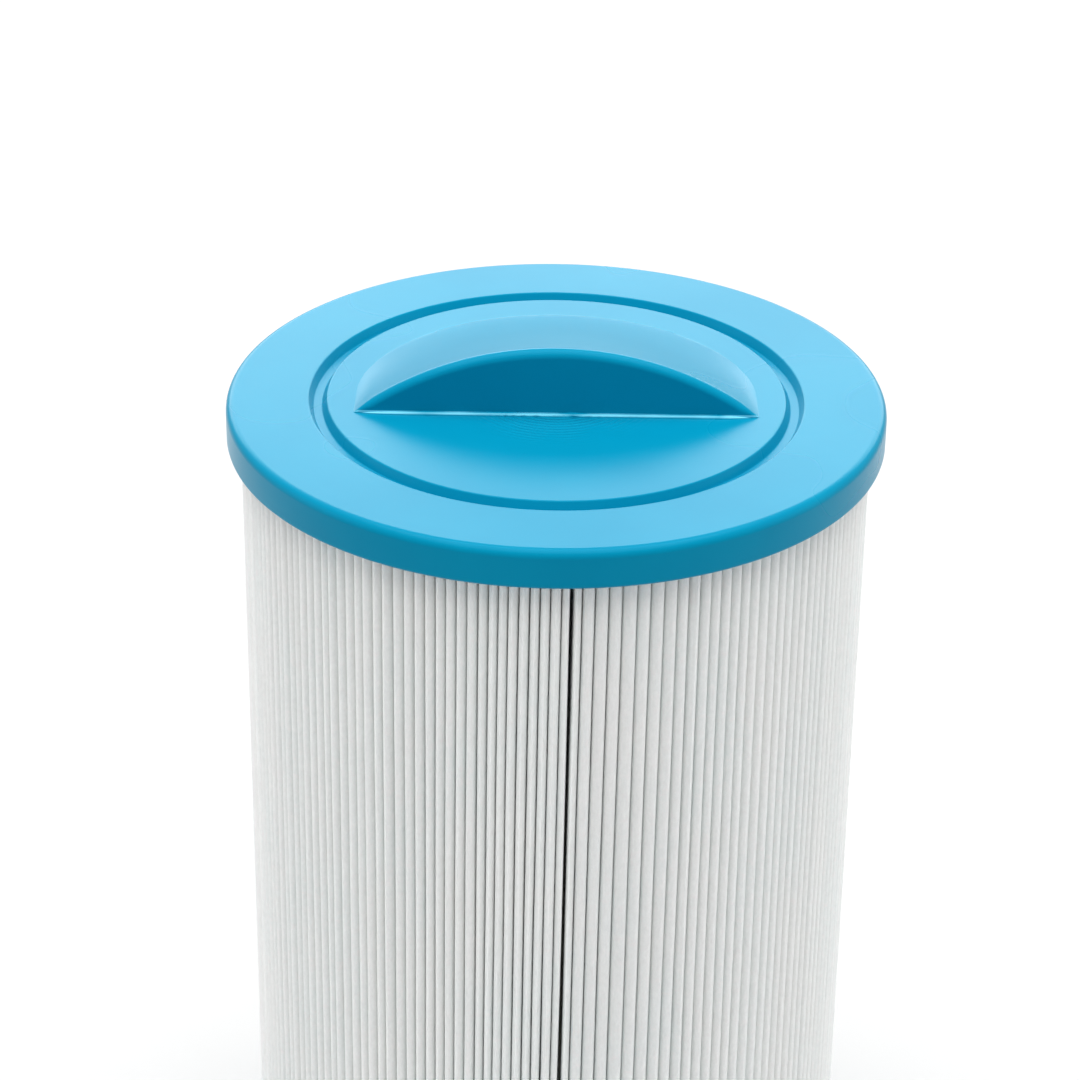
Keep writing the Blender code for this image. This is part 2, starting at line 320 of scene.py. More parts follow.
def whiteFelt():
    paint = Shading("whiteFelt")
    look = feltLook
    drift = paint.clouds(60.0, 4.0, 0.6, paint.stretched((1.0, 1.0, 0.35)))
    blotch = paint.clouds(look["blotchScale"], 4.0, 0.7)
    fibre = paint.clouds(look["fibreScale"], 3.0, 0.7, paint.stretched((1.0, 1.0, 0.45)))
    base = paint.mixColour(paint.remap(drift, 0.38, 0.62, 0.0, 1.0), look["cool"], look["colour"])
    base = paint.mixColour(paint.remap(blotch, 0.50, 0.72, 0.0, 0.8), base, look["warm"])
    share = paint.remap(fibre, 0.30, 0.70, 0.955, 1.02)
    grey = paint.node("ShaderNodeCombineColor", {"Red": share, "Green": share, "Blue": share})
    paint.plug("Base Color", paint.mixColour(1.0, base, grey.outputs["Color"], "MULTIPLY"))
    low = look["roughness"] - look["roughnessSpread"]
    high = look["roughness"] + look["roughnessSpread"]
    paint.plug("Roughness", paint.remap(blotch, 0.3, 0.7, low, high))
    coarse = paint.bump(blotch, 0.30, 0.00020)
    paint.plug("Normal", paint.bump(fibre, 0.35, 0.00008, coarse))
    paint.fix(Specular_IOR_Level=0.25, Sheen_Weight=0.10, Sheen_Roughness=0.5)
    paint.fix(Subsurface_Weight=look["glow"], Subsurface_Scale=look["glowDepth"],
              Subsurface_Radius=(1.0, 1.0, 1.0))
    return paint.material


plasticLook = {
    "colour": (0.80, 0.81, 0.79),
    "shade": (0.76, 0.77, 0.75),
    "roughness": 0.42,
    "roughnessSpread": 0.07,
}


def whiteMoulded():
    paint = Shading("whiteMoulded")
    look = plasticLook
    cloud = paint.remap(paint.clouds(35.0, 3.0), 0.35, 0.65, 0.0, 1.0)
    paint.plug("Base Color", paint.mixColour(cloud, look["shade"], look["colour"]))
    flow = paint.clouds(55.0, 3.0, 0.5, paint.stretched((1.0, 1.0, 0.3)))
    low = look["roughness"] - look["roughnessSpread"]
    high = look["roughness"] + look["roughnessSpread"]
    paint.plug("Roughness", paint.remap(flow, 0.3, 0.7, low, high))
    sheen = paint.bump(flow, 0.06, 0.0004)
    paint.plug("Normal", paint.bump(paint.clouds(1100.0, 2.0), 0.10, 0.00006, sheen))
    return paint.material


glueLook = {
    "colour": (0.62, 0.62, 0.55),
    "shade": (0.50, 0.51, 0.46),
    "smooth": 0.27,
    "rough": 0.47,
}


def seamGlue():
    paint = Shading("seamGlue")
    look = glueLook
    runs = paint.clouds(180.0, 4.0, 0.6, paint.stretched((1.0, 1.0, 0.3)))
    cloud = paint.remap(runs, 0.35, 0.65, 0.0, 1.0)
    paint.plug("Base Color", paint.mixColour(cloud, look["shade"], look["colour"]))
    paint.plug("Roughness", paint.remap(runs, 0.3, 0.7, look["smooth"], look["rough"]))
    paint.plug("Normal", paint.bump(runs, 0.3, 0.0003))
    return paint.material


cameraLook = {
    "lens": 115.1,
    "sensor": 36.0,
    "pitch": 28.34,
    "roll": 0.77,
    "reach": 0.7977,        # depth from the camera to the middle of the cap's upper face
    "right": -0.00381,      # how far the aim is to the side of that point
    "up": -0.03362,
}


def makeCamera():
    look = cameraLook
    data = bpy.data.cameras.new("studioCamera")
    data.lens = look["lens"]
    data.sensor_width = look["sensor"]
    data.clip_start = 0.01
    data.clip_end = 20.0
    camera = bpy.data.objects.new("studioCamera", data)
    bpy.context.scene.collection.objects.link(camera)
    pitch = math.radians(look["pitch"])
    forward = Vector((0.0, math.cos(pitch), -math.sin(pitch)))
    upward = Vector((0.0, math.sin(pitch), math.cos(pitch)))
    roll = math.radians(look["roll"])
    sideways = Vector((1.0, 0.0, 0.0))
    sideAxis = sideways * math.cos(roll) + upward * math.sin(roll)
    upAxis = upward * math.cos(roll) - sideways * math.sin(roll)
    target = Vector((0.0, 0.0, topFace)) + sideAxis * look["right"] + upAxis * look["up"]
    camera.location = target - forward * look["reach"]
    rows = (sideAxis, upAxis, -forward)
    camera.rotation_euler = Matrix(rows).transposed().to_euler()
    bpy.context.scene.camera = camera
    print("camera ready")


studioLook = {
    "floorSize": 8.0,
    "floorColour": (0.66, 0.66, 0.66, 1.0),
    "floorDrop": 0.0002,            # keeps the floor clear of the stub that stands on it
    "worldStrength": 0.44,
    "overhead": {"at": (0.0, -0.22, 1.55), "size": (1.6, 1.4), "power": 22.0, "aim": (0.0, -0.05, 0.2)},
    "behind": {"at": (0.0, 1.75, 0.95), "size": (2.6, 1.1), "power": 20.0, "aim": (0.0, 0.0, 0.25)},
    "left": {"at": (-1.15, -0.15, 0.60), "size": (0.7, 0.9), "power": 1.3, "aim": (0.0, 0.0, 0.15)},
    "right": {"at": (1.15, -0.15, 0.60), "size": (0.7, 0.9), "power": 1.3, "aim": (0.0, 0.0, 0.15)},
}


def makeLight(name):
    values = studioLook[name]
    data = bpy.data.lights.new(name + "Softbox", "AREA")
    data.shape = "RECTANGLE"
    data.size, data.size_y = values["size"]
    data.energy = values["power"]
    light = bpy.data.objects.new(name + "Softbox", data)
    bpy.context.scene.collection.objects.link(light)
    light.location = values["at"]
    away = Vector(values["aim"]) - Vector(values["at"])
    light.rotation_euler = away.to_track_quat("-Z", "Y").to_euler()
    light.visible_camera = False


def makeStudio():
    bpy.ops.object.select_all(action="DESELECT")
    level = adaptorLow.z - studioLook["floorDrop"]
    bpy.ops.mesh.primitive_plane_add(size=studioLook["floorSize"], location=(0.0, 0.0, level))
    floor = newest("studioFloor")
    paint = Shading("paleFloor")
    paint.fix(Base_Color=studioLook["floorColour"], Roughness=0.8, Specular_IOR_Level=0.2)
    floor.data.materials.append(paint.material)
    world = bpy.data.worlds.new("paleStudio")
    bpy.context.scene.world = world
    world.use_nodes = True
    sky = world.node_tree.nodes["Background"].inputs
    sky["Color"].default_value = (1.0, 1.0, 1.0, 1.0)
    sky["Strength"].default_value = studioLook["worldStrength"]
    for name in ("overhead", "behind", "left", "right"):
        makeLight(name)
    bpy.context.scene.view_settings.view_transform = "Standard"
    bpy.context.scene.view_settings.look = "Medium High Contrast"
    print("studio ready")


topCapLook = {
    "steps": 192,
    "rimFillet": 0.0020,
    "rimSegments": 7,
    "lowerChamfer": 0.0009,
    "grooveInner": 0.0529,
    "grooveOuter": 0.0572,
    "grooveDepth": 0.0022,
    "grooveEdge": 0.00028,
    "grooveSlope": 0.00115,         # how far each wall runs in toward the groove's floor
    "edgeSegments": 3,
    "smoothBelow": 32.0,            # degrees
}

gripLook = {
    "faceY": -0.0108,
    "halfWidth": 0.0463,
    "backY": 0.0446,
    "fillet": 0.0020,
    "filletRows": 8,
    "cornerShare": 0.6,             # the lip's fillet shrinks to this share of the height at the corners
    "cornerLeast": 0.0001,
    "backBlend": 0.0012,            # length over which the slope eases into the cap
    "tailSink": 0.0003,
    "tailPower": 8,
    "topRows": 22,
    "columns": 96,
    "overrun": 1.004,               # the form runs just past its corners
    "leastHeight": 0.00002,
    "footSink": 0.0005,
    "sink": 0.003,
}

flashLook = {
    "radius": 0.00066,
    "run": 0.0447,
    "ahead": 0.0003,                # how far it lies in front of the face
    "sides": 16,
    "cuts": 24,
    "unevenness": 0.35,
    "unevenScale": 120.0,
    "nicks": (-0.0174, 0.0047),
    "nickSize": 0.5,
    "nickWidth": 0.0012,
    "taper": 0.006,
    "leastSize": 0.15,
}


def makeCapDisc(name, low):
    bpy.ops.object.select_all(action="DESELECT")
    bpy.ops.mesh.primitive_cylinder_add(vertices=topCapLook["steps"], radius=capRadius, depth=capThickness,
                                        end_fill_type="NGON", location=(0.0, 0.0, low + 0.5 * capThickness))
    disc = newest(name)
    placeInMesh(disc)
    return disc


def bevelRing(obj, radius, height, offset, segments):
    editMode("EDGE")
    selectInEdit(obj, "edges", lambda e: onCircle(e, radius, height))
    bpy.ops.mesh.bevel(offset=offset, offset_type="OFFSET", segments=segments, profile=0.5, affect="EDGES",
                       clamp_overlap=False)
    objectMode()


# the arc that stands over a chord of the grip's width and rises by rise
def arcOver(x, rise):
    radius = (gripLook["halfWidth"] ** 2 + rise ** 2) / (2.0 * rise)
    return rise - radius + math.sqrt(max(radius * radius - x * x, 0.0))


# one point of the grip's surface: rows run from the foot of its face, over the lip and down its back
def gripPoint(x, row):
    look = gripLook
    height = max(arcOver(x, gripApex), look["leastHeight"])
    fillet = min(look["fillet"], look["cornerShare"] * height + look["cornerLeast"])
    if row == 0:
        return look["faceY"], -look["footSink"]
    if row <= look["filletRows"] + 1:
        angle = 0.5 * math.pi * (row - 1) / look["filletRows"]
        return look["faceY"] + fillet * (1.0 - math.cos(angle)), height - fillet * (1.0 - math.sin(angle))
    share = (row - look["filletRows"] - 1) / look["topRows"]
    front = look["faceY"] + fillet
    back = look["faceY"] + arcOver(x, look["backY"] - look["faceY"])
    reach = back - front + look["backBlend"]
    ease = look["backBlend"] / reach
    slope = height / (1.0 - ease)
    drop = slope * share
    if share >= 1.0 - 2.0 * ease:
        left = 1.0 - share
        drop = height - slope * left * left / (4.0 * ease)
    return front + reach * share, height - drop - look["tailSink"] * share ** look["tailPower"]


def makeGrip():
    look = gripLook
    rows = 1 + look["filletRows"] + look["topRows"]
    bpy.ops.object.select_all(action="DESELECT")
    bpy.ops.mesh.primitive_grid_add(x_subdivisions=look["columns"], y_subdivisions=rows, size=2.0)
    grip = newest("gripForm")
    edge = look["overrun"] * look["halfWidth"]
    for vert in grip.data.vertices:
        x = edge * math.sin(0.5 * math.pi * vert.co.x)
        y, z = gripPoint(x, round(0.5 * (vert.co.y + 1.0) * rows))
        vert.co = (x, y, topFace + z)
    editMode("EDGE")
    selectInEdit(grip, "edges", lambda e: e.is_boundary)
    bpy.ops.mesh.extrude_region_move(TRANSFORM_OT_translate={"value": (0.0, 0.0, -look["sink"])})
    bpy.ops.transform.resize(value=(1.0, 1.0, 0.0), center_override=(0.0, 0.0, topFace - look["sink"]))
    bpy.ops.mesh.edge_face_add()
    objectMode()
    cleanUp(grip, 0.5 * fineMerge)
    return grip


# the thin raised line that the mould leaves along the foot of the grip's face
def makeFlashLine():
    look = flashLook
    y = gripLook["faceY"] - look["ahead"]
    bpy.ops.object.select_all(action="DESELECT")
    bpy.ops.mesh.primitive_cylinder_add(vertices=look["sides"], radius=look["radius"],
                                        depth=2.0 * look["run"], location=(0.0, y, topFace),
                                        rotation=(0.0, 0.5 * math.pi, 0.0))
    flash = newest("flashLine")
    placeInMesh(flash)
    editMode("VERT")
    for cut in range(1, look["cuts"]):
        where = look["run"] * (2.0 * cut / look["cuts"] - 1.0)
        bpy.ops.mesh.select_all(action="SELECT")
        bpy.ops.mesh.bisect(plane_co=(where, 0.0, 0.0), plane_no=(1.0, 0.0, 0.0))
    objectMode()
    for vert in flash.data.vertices:
        size = 1.0 + look["unevenness"] * noise.noise(Vector((vert.co.x * look["unevenScale"], 3.0, 0.0)))
        for nick in look["nicks"]:
            size += look["nickSize"] * math.exp(-((vert.co.x - nick) / look["nickWidth"]) ** 2)
        size *= min(1.0, max(look["leastSize"], (look["run"] - abs(vert.co.x)) / look["taper"]))
        vert.co.y = y + (vert.co.y - y) * size
        vert.co.z = topFace + (vert.co.z - topFace) * size
    return flash


def cutGroove(cap):
    look = topCapLook
    outer = look["grooveOuter"]
    inner = look["grooveInner"]
    middle = 0.5 * (outer + inner)
    nearMiddle = 0.001
    floor = topFace - look["grooveDepth"]
    editMode("FACE")
    selectInEdit(cap, "faces", lambda f: f.normal.z > levelNormal)
    bpy.ops.mesh.inset(thickness=capRadius - outer)
    bpy.ops.mesh.inset(thickness=outer - inner)
    selectInEdit(cap, "faces",
                 lambda f: f.normal.z > levelNormal and abs(ringRadius(middleOf(f)) - middle) < nearMiddle)
    bpy.ops.mesh.extrude_region_move(TRANSFORM_OT_translate={"value": (0.0, 0.0, -look["grooveDepth"])})
    objectMode()
    floorOuter = outer - look["grooveSlope"]
    floorInner = inner + look["grooveSlope"]
    for vert in cap.data.vertices:
        if abs(vert.co.z - floor) < nearCircle:
            radius = ringRadius(vert.co)
            grow = (floorOuter if radius > middle else floorInner) / radius
            vert.co.x *= grow
            vert.co.y *= grow
    for upper, lower in ((outer, floorOuter), (inner, floorInner)):
        bevelRing(cap, upper, topFace, look["grooveEdge"], look["edgeSegments"])
        bevelRing(cap, lower, floor, look["grooveEdge"], look["edgeSegments"])


def makeTopCap():
    look = topCapLook
    cap = makeCapDisc("topEndCap", capLow.z)
    cutGroove(cap)
    bevelRing(cap, capRadius, topFace, look["rimFillet"], look["rimSegments"])
    bevelRing(cap, capRadius, capLow.z, look["lowerChamfer"], look["edgeSegments"])
    unite(cap, makeGrip())
    unite(cap, makeFlashLine())
    cleanUp(cap, fineMerge)
    shade(cap, look["smoothBelow"])
    levelFlats(cap)
    finishPiece(cap, materials["blueCast"], ["top_end_cap"])


bottomCapLook = {
    "rimFillet": 0.0020,
    "ventRing": 0.0560,
    "ventWidth": 0.0012,
    "ventDepth": 0.0006,
    "collarRoom": 0.0001,           # between the cap and the adaptor's collar
    "collarEdge": 0.0005,
    "manySides": 100,               # the disc's two middle faces have more corners than this
}


def makeBottomCap():
    look = bottomCapLook
    collar = adaptorLook["collar"] + look["collarRoom"]
    segments = topCapLook["edgeSegments"]
    cap = makeCapDisc("bottomEndCap", bottomLow.z)
    middle = look["ventRing"] - 0.5 * look["ventWidth"]
    inner = look["ventRing"] - look["ventWidth"]
    nearMiddle = 0.0004
    editMode("FACE")
    selectInEdit(cap, "faces", lambda f: f.normal.z < -levelNormal)
    bpy.ops.mesh.inset(thickness=capRadius - look["ventRing"])
    bpy.ops.mesh.inset(thickness=look["ventWidth"])
    selectInEdit(cap, "faces",
                 lambda f: f.normal.z < -levelNormal and abs(ringRadius(middleOf(f)) - middle) < nearMiddle)
    bpy.ops.mesh.extrude_region_move(TRANSFORM_OT_translate={"value": (0.0, 0.0, look["ventDepth"])})
    selectInEdit(cap, "faces", lambda f: f.normal.z < -levelNormal and len(f.verts) > look["manySides"])
    bpy.ops.mesh.inset(thickness=inner - collar)
    selectInEdit(cap, "faces", lambda f: f.normal.z > levelNormal and len(f.verts) > look["manySides"])
    bpy.ops.mesh.inset(thickness=capRadius - collar)
    selectInEdit(cap, "faces", lambda f: abs(f.normal.z) > levelNormal and len(f.verts) > look["manySides"])
    bpy.ops.mesh.bridge_edge_loops()
    objectMode()
    bevelRing(cap, capRadius, bottomLow.z, look["rimFillet"], topCapLook["rimSegments"])
    bevelRing(cap, capRadius, bottomHigh.z, topCapLook["lowerChamfer"], segments)
    bevelRing(cap, collar, bottomLow.z, look["collarEdge"], segments)
    cleanUp(cap, fineMerge)
    shade(cap, topCapLook["smoothBelow"])
    levelFlats(cap)
    finishPiece(cap, materials["blueCast"], ["bottom_end_cap"])


mediaLook = {
    "tips": 175,
    "outer": 0.0730,
    "inner": 0.0379,
    "thickness": 0.00050,
    "unfolded": 12.31,              # length of the flat sheet, in metres
    "rootWidth": 0.00068,
    "crestDepth": 0.0021,           # from a pleat's crest to where it meets its neighbours
    "crestSpread": 0.30,            # how much that depth differs from pleat to pleat
    "crestScatter": 0.0003,
    "seamHalf": 0.00031,            # half width of the pleats beside the seam, on their open side
    "touch": 0.00004,
    "crestPoints": 7,
    "flankPoints": 2,
    "rootPoints": 3,
    "flankBow": 0.0003,
    "levels": 13,
    "seamAngle": math.radians(-87.0),
    "seamRoom": 0.42,               # from the seam to the tips beside it, in pleats
    "flapEnd": 0.0580,
    "flapHalf": 0.0003,
    "flapTurn": 0.1,                # in pleats
    "spread": 0.20,                 # how much wider the pleats to the right of the seam stand
    "spreadAt": 0.17,               # radians from the seam
    "spreadOver": 0.15,
    "crowd": 0.15,                  # and how much closer those to its left
    "crowdAt": -0.20,
    "crowdOver": 0.22,
    "unevenness": 0.10,
    "wander": 0.00022,
    "habit": 0.8,                   # the part of the wander that a pleat keeps from end to end
    "lean": 0.0017,
    "leanOver": 0.45,
    "slack": 0.0006,                # how far two pleats left of the seam draw apart toward the bottom
    "slackBelow": 0.55,
    "seed": 7,
}


# the room that one pleat takes, by its angle from the seam
def pleatShare(away):
    look = mediaLook
    room = 1.0 + look["spread"] * math.exp(-((away - look["spreadAt"]) / look["spreadOver"]) ** 2)
    room -= look["crowd"] * math.exp(-((away - look["crowdAt"]) / look["crowdOver"]) ** 2)
    return room + look["unevenness"] * noise.noise(Vector((3.0 * math.cos(away), 3.0 * math.sin(away), 5.0)))


def tipAngles():
    look = mediaLook
    room = []
    for i in range(look["tips"] - 1):
        away = fullTurn * (i + 1) / look["tips"]
        room.append(pleatShare(away if away < math.pi else away - fullTurn))
    scale = fullTurn / (sum(room) + 2.0 * look["seamRoom"])
    angles = [look["seamAngle"] + scale * look["seamRoom"]]
    for share in room:
        angles.append(angles[-1] + scale * share)
    return angles


# the rounded fold at the foot of two pleats, as pairs of sideways place and rise
def rootFold():
    half = 0.5 * mediaLook["rootWidth"]
    turns = [math.pi * (i / (mediaLook["rootPoints"] - 1) - 0.5) for i in range(mediaLook["rootPoints"])]
    return [(half * math.sin(turn), half * (1.0 - math.cos(turn))) for turn in turns]


# points between a root and the place where the pleat meets its neighbour, from the root out
def flankLine(start, end, key, height):
    points = []
    for i in range(1, mediaLook["flankPoints"] + 1):
        share = i / (mediaLook["flankPoints"] + 1)
        sway = noise.noise(Vector((key, 11.0 * height, 9.0)))
        bow = mediaLook["flankBow"] * math.sin(math.pi * share) * sway
        angle, side, radius = (low + (high - low) * share for low, high in zip(start, end))
        points.append((angle, side + bow, radius))
    return points


# the rounded crest of a pleat, as wide to each side as its neighbours leave room
def crestLine(angle, left, right, crest, depth):
    points = []
    for i in range(mediaLook["crestPoints"]):
        turn = math.pi * (i / (mediaLook["crestPoints"] - 1) - 0.5)
        half = left if turn < 0.0 else right
        points.append((angle, half * math.sin(turn), crest - depth * (1.0 - math.cos(turn))))
    return points


# where the crests stand at one level: they lean near the seam and wander a little between the caps
def tipsAt(share, height):
    look = mediaLook
    tip = look["outer"] - 0.5 * look["thickness"]
    free = math.sqrt(math.sin(math.pi * share))
    tips = []
    for i, angle in enumerate(pleatAngles):
        away = (angle - look["seamAngle"] + math.pi) % fullTurn - math.pi
        drift = -look["lean"] * (1.0 - share) * math.exp(-(away / look["leanOver"]) ** 2)
        sway = free * noise.noise(Vector((0.73 * i, 16.0 * height, 1.7)))
        drift += look["wander"] * (look["habit"] * pleatHabit[i] + sway)
        tips.append(angle + drift / tip)
    return tips


# one level of the folded sheet, from one seam flap round to the other
def sheetOutline(level):
    look = mediaLook
    share = level / (look["levels"] - 1)
    height = mediaLow + (mediaHigh - mediaLow) * share
    tip = look["outer"] - 0.5 * look["thickness"]
    root = look["inner"] + 0.5 * look["thickness"]
    halfRoot = 0.5 * look["rootWidth"]
    spare = 0.5 * look["thickness"] + look["touch"]
    slack = look["slack"] * max(0.0, look["slackBelow"] - share)
    tips = tipsAt(share, height)
    last = len(tips) - 1
    step = fullTurn / (look["tips"] + 1)
    roots = [look["seamAngle"] + (i + 0.5) * step for i in range(look["tips"] + 1)]
    flap = look["flapTurn"] * step
    outline = [(look["seamAngle"] + flap, look["flapHalf"], look["flapEnd"])]
    for i, rootAngle in enumerate(roots):
        outline += [(rootAngle, side, root + rise) for side, rise in rootFold()]
        if i > last:
            break
        depth = look["crestDepth"] * (1.0 - 0.5 * look["crestSpread"] + look["crestSpread"] * pleatDepth[i])
        crest = tip - look["crestScatter"] * pleatReach[i]
        meet = crest - depth
        left = 0.5 * (tips[i] - tips[i - 1]) * meet - spare if i > 0 else look["seamHalf"]
        right = 0.5 * (tips[i + 1] - tips[i]) * meet - spare if i < last else look["seamHalf"]
        left -= slack if i == last - 1 else 0.0
        right -= slack if i == last - 2 else 0.0
        outline += flankLine((rootAngle, halfRoot, root), (tips[i], -left, meet), 0.41 * i, height)
        outline += crestLine(tips[i], left, right, crest, depth)
        back = flankLine((roots[i + 1], -halfRoot, root), (tips[i], right, meet), 0.41 * i + 0.2, height)
        outline += reversed(back)
    outline.append((look["seamAngle"] - flap, -look["flapHalf"], look["flapEnd"]))
    return [(radius * math.cos(angle) - side * math.sin(angle),
             radius * math.sin(angle) + side * math.cos(angle), height) for angle, side, radius in outline]


random.seed(mediaLook["seed"])
pleatHabit = [random.uniform(-1.0, 1.0) for i in range(mediaLook["tips"])]
pleatReach = [random.random() for i in range(mediaLook["tips"])]
pleatDepth = [random.random() for i in range(mediaLook["tips"])]
pleatAngles = tipAngles()


def makeMedia():
    look = mediaLook
    levels = [sheetOutline(level) for level in range(look["levels"])]
    count = len(levels[0])
    bpy.ops.object.select_all(action="DESELECT")
    bpy.ops.mesh.primitive_circle_add(vertices=count, radius=look["outer"], location=(0.0, 0.0, 0.0))
    media = newest("pleatedMedia")
    editMode("EDGE")
    selectInEdit(media, "edges", lambda e: {vert.index for vert in e.verts} == {0, count - 1})
    bpy.ops.mesh.delete(type="EDGE")
    for level in range(1, look["levels"]):
        selectInEdit(media, "edges", lambda e: all(vert.index >= (level - 1) * count for vert in e.verts))
        bpy.ops.mesh.extrude_region_move(TRANSFORM_OT_translate={"value": (0.0, 0.0, 1.0)})
        bmesh.from_edit_mesh(media.data).verts.index_update()
    objectMode()
    for vert in media.data.vertices:
        vert.co = levels[round(vert.co.z)][vert.index % count]
    print("folded the sheet", look["tips"], "pleats")
    useModifier(media, "SOLIDIFY", thickness=look["thickness"], offset=0.0, use_even_offset=True)
    cleanUp(media)
    shade(media, 60.0)
    finishPiece(media, materials["whiteFelt"], mediaNodes)


# a ring drawn out level by level, from a closed profile of radius and height
def turnedPiece(name, profile, steps):
    bpy.ops.object.select_all(action="DESELECT")
    radius, height = profile[0]
    bpy.ops.mesh.primitive_circle_add(vertices=steps, radius=radius, location=(0.0, 0.0, height))
    piece = newest(name)
    placeInMesh(piece)
    editMode("EDGE")
    bpy.ops.mesh.select_all(action="SELECT")
    for nextRadius, nextHeight in profile[1:] + profile[:1]:
        bpy.ops.mesh.extrude_region_move(TRANSFORM_OT_translate={"value": (0.0, 0.0, nextHeight - height)})
        grow = nextRadius / radius
        bpy.ops.transform.resize(value=(grow, grow, 1.0), center_override=(0.0, 0.0, nextHeight))
        radius, height = nextRadius, nextHeight
    objectMode()
    cleanUp(piece)
    return piece


adaptorLook = {
    "steps": 96,
    "bore": 0.0175,
    "root": 0.0216,
    "crest": 0.02365,
    "leadIn": 0.0010,
    "collar": 0.0240,
    "collarStart": 0.0030,          # below the cap's outer face
    "collarFull": 0.0020,
    "flange": 0.0310,
    "flangeLift": 0.0025,
    "flangeThickness": 0.0027,
    "edge": 0.0004,
    "smoothBelow": 30.0,            # degrees
}

threadLook = {
    "pitch": 0.0050,
    "turns": 3.5,
    "start": 0.0036,
    "crestWidth": 0.0010,
    "footWidth": 0.0030,
    "footSink": 0.0006,
    "runOut": 0.9,                  # radians over which the thread rises from the stub
    "leastRise": 0.12,
    "stepsPerTurn": 72,
    "edge": 0.00022,
}


def makeThread():
    look = threadLook
    crest = adaptorLook["crest"]
    foot = adaptorLook["root"] - look["footSink"]
    section = [(foot, -0.5 * look["footWidth"]), (crest, -0.5 * look["crestWidth"]),
               (crest, 0.5 * look["crestWidth"]), (foot, 0.5 * look["footWidth"])]
    bpy.ops.object.select_all(action="DESELECT")
    bpy.ops.mesh.primitive_circle_add(vertices=len(section), radius=0.001)
    thread = newest("threadForm")
    for vert, (radius, height) in zip(thread.data.vertices, section):
        vert.co = (radius, 0.0, look["start"] + height)
    steps = int(look["turns"] * look["stepsPerTurn"])
    wholeAngle = fullTurn * look["turns"]
    useModifier(thread, "SCREW", axis="Z", angle=wholeAngle, screw_offset=look["pitch"] * look["turns"],
                steps=steps, render_steps=steps, use_merge_vertices=False)
    for vert in thread.data.vertices:
        along = (vert.co.z - look["start"]) / look["pitch"] * fullTurn
        ends = min(along, wholeAngle - along) / look["runOut"]
        radius = ringRadius(vert.co)
        sunk = foot + (radius - foot) * min(1.0, max(look["leastRise"], ends))
        vert.co.x *= sunk / radius
        vert.co.y *= sunk / radius
    editMode("EDGE")
    bpy.ops.mesh.select_all(action="SELECT")
    bpy.ops.mesh.fill_holes(sides=len(section))
    objectMode()
    cleanUp(thread)
    softenEdges(thread, look["edge"], 2)
    return thread


def makeAdaptor():
    look = adaptorLook
    face = bottomLow.z
    low = face + look["flangeLift"]
    high = low + look["flangeThickness"]
    profile = [
        (look["root"] - look["leadIn"], 0.0),
        (look["root"], look["leadIn"]),
        (look["root"], face - look["collarStart"]),
        (look["collar"], face - look["collarFull"]),
        (look["collar"], low),
        (look["flange"], low),
        (look["flange"], high),
        (look["collar"], high),
        (look["collar"], bottomHigh.z),
        (look["bore"], bottomHigh.z),
        (look["bore"], 0.0),
    ]
    adaptor = turnedPiece("threadedAdaptor", profile, look["steps"])
    softenEdges(adaptor, look["edge"], 3)
    unite(adaptor, makeThread())
    cleanUp(adaptor, fineMerge)
    shade(adaptor, look["smoothBelow"])
    levelFlats(adaptor)
    finishPiece(adaptor, materials["whiteMoulded"], ["thread_adaptor"])


coreLook = {
    "steps": 96,
    "outer": 0.0373,
    "inner": 0.0353,
    "spigot": 0.0361,
    "socket": 0.0364,
    "spigotHeight": 0.0030,
    "gap": 0.0003,
    "columns": 8,
    "rows": 2,
    "rib": 0.0055,
    "windowArc": math.radians(29.0),
    "corner": 0.0025,
    "cornerSegments": 4,
    "edge": 0.00035,
    "smoothBelow": 30.0,            # degrees
}


# blocks that cut the windows of one core section, all joined
def makeWindowForms(pitch):
    look = coreLook
    low = look["spigotHeight"] + look["rib"]
    high = pitch - look["gap"] - look["rib"]
    height = (high - low - (look["rows"] - 1) * look["rib"]) / look["rows"]
    radius = 0.5 * (look["outer"] + look["inner"])
    width = 2.0 * radius * math.sin(0.5 * look["windowArc"])
    depth = 4.0 * (look["outer"] - look["inner"])
    forms = []
    for row in range(look["rows"]):
        level = low + 0.5 * height + row * (height + look["rib"])
        for column in range(look["columns"]):
            turn = fullTurn * (column + 0.5) / look["columns"]
            bpy.ops.object.select_all(action="DESELECT")
            bpy.ops.mesh.primitive_cube_add(size=1.0)
            form = newest("windowForm")
            form.scale = (depth, width, height)
            placeInMesh(form)
            editMode("EDGE")
            selectInEdit(form, "edges", lambda e: abs((e.verts[0].co - e.verts[1].co).x) > 0.5 * depth)
            bpy.ops.mesh.bevel(offset=look["corner"], segments=look["cornerSegments"], affect="EDGES")
            objectMode()
            form.rotation_euler.z = turn
            form.location = (radius * math.cos(turn), radius * math.sin(turn), level)
            placeInMesh(form)
            forms.append(form)
    bpy.ops.object.select_all(action="DESELECT")
    for form in forms:
        form.select_set(True)
    bpy.context.view_layer.objects.active = forms[0]
    bpy.ops.object.join()
    return forms[0]


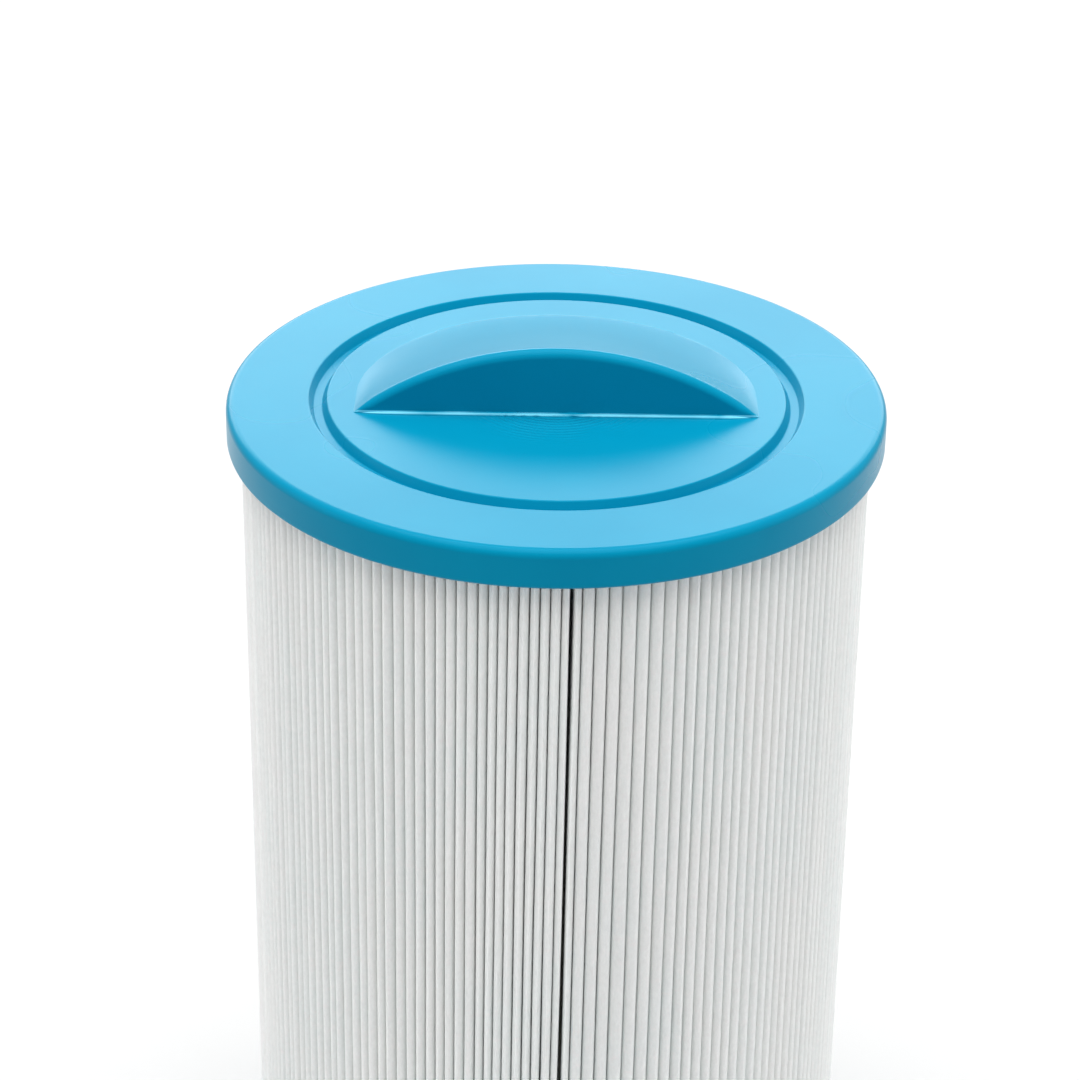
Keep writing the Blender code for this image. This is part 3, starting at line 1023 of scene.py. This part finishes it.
def makeCoreSection(name, low, top, windows):
    look = coreLook
    seat = low + look["spigotHeight"] + look["gap"]
    crown = top + look["spigotHeight"]
    profile = [
        (look["outer"], low),
        (look["outer"], top),
        (look["spigot"], top),
        (look["spigot"], crown),
        (look["inner"], crown),
        (look["inner"], seat),
        (look["socket"], seat),
        (look["socket"], low),
    ]
    section = turnedPiece(name, profile, look["steps"])
    cutter = windows.copy()
    cutter.data = windows.data.copy()
    bpy.context.scene.collection.objects.link(cutter)
    cutter.location.z = low
    useModifier(section, "BOOLEAN", operation="DIFFERENCE", solver="EXACT", object=cutter)
    bpy.data.objects.remove(cutter, do_unlink=True)
    cleanUp(section, 0.000005)
    softenEdges(section, look["edge"], 2)
    shade(section, look["smoothBelow"])
    return section


def makeCore():
    pitch = (mediaHigh - mediaLow - coreLook["spigotHeight"]) / len(coreNodes)
    windows = makeWindowForms(pitch)
    for i, node in enumerate(coreNodes):
        low = mediaLow + i * pitch
        section = makeCoreSection("coreSection" + str(i + 1), low, low + pitch - coreLook["gap"], windows)
        finishPiece(section, materials["whiteMoulded"], [node])
    bpy.data.objects.remove(windows, do_unlink=True)


beadLook = {
    "inner": 0.0462,
    "outer": 0.0580,
    "thickness": 0.0010,
    "endRoom": 0.0004,
    "edge": 0.0003,
    "cuts": 60,
    "swell": 0.30,
    "swellScale": 90.0,
    "sway": 0.06,
    "swayScale": 70.0,
}


def makeBead():
    look = beadLook
    low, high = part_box("seam_bead")
    length = high.z - low.z - look["endRoom"]
    bpy.ops.object.select_all(action="DESELECT")
    bpy.ops.mesh.primitive_cube_add(size=1.0)
    bead = newest("seamBead")
    bead.scale = (look["outer"] - look["inner"], look["thickness"], length)
    placeInMesh(bead)
    softenEdges(bead, look["edge"], 3)
    editMode("EDGE")
    for cut in range(1, look["cuts"]):
        bpy.ops.mesh.select_all(action="SELECT")
        level = length * (cut / look["cuts"] - 0.5)
        bpy.ops.mesh.bisect(plane_co=(0.0, 0.0, level), plane_no=(0.0, 0.0, 1.0))
    objectMode()
    for vert in bead.data.vertices:
        sway = noise.noise(Vector((5.0, 0.0, look["swayScale"] * vert.co.z)))
        swell = noise.noise(Vector((0.0, 2.0, look["swellScale"] * vert.co.z)))
        vert.co.x *= 1.0 + look["sway"] * sway
        vert.co.y *= 1.0 + look["swell"] * swell
    angle = mediaLook["seamAngle"]
    middle = 0.5 * (look["inner"] + look["outer"])
    bead.rotation_euler.z = angle
    bead.location = (middle * math.cos(angle), middle * math.sin(angle), 0.5 * (low.z + high.z))
    placeInMesh(bead)
    shade(bead, 40.0)
    finishPiece(bead, materials["seamGlue"], ["seam_bead"])


materials = {
    "blueCast": blueCast(),
    "whiteFelt": whiteFelt(),
    "whiteMoulded": whiteMoulded(),
    "seamGlue": seamGlue(),
}
makeCamera()
makeStudio()
makeTopCap()
makeBottomCap()
makeMedia()
makeBead()
makeAdaptor()
makeCore()
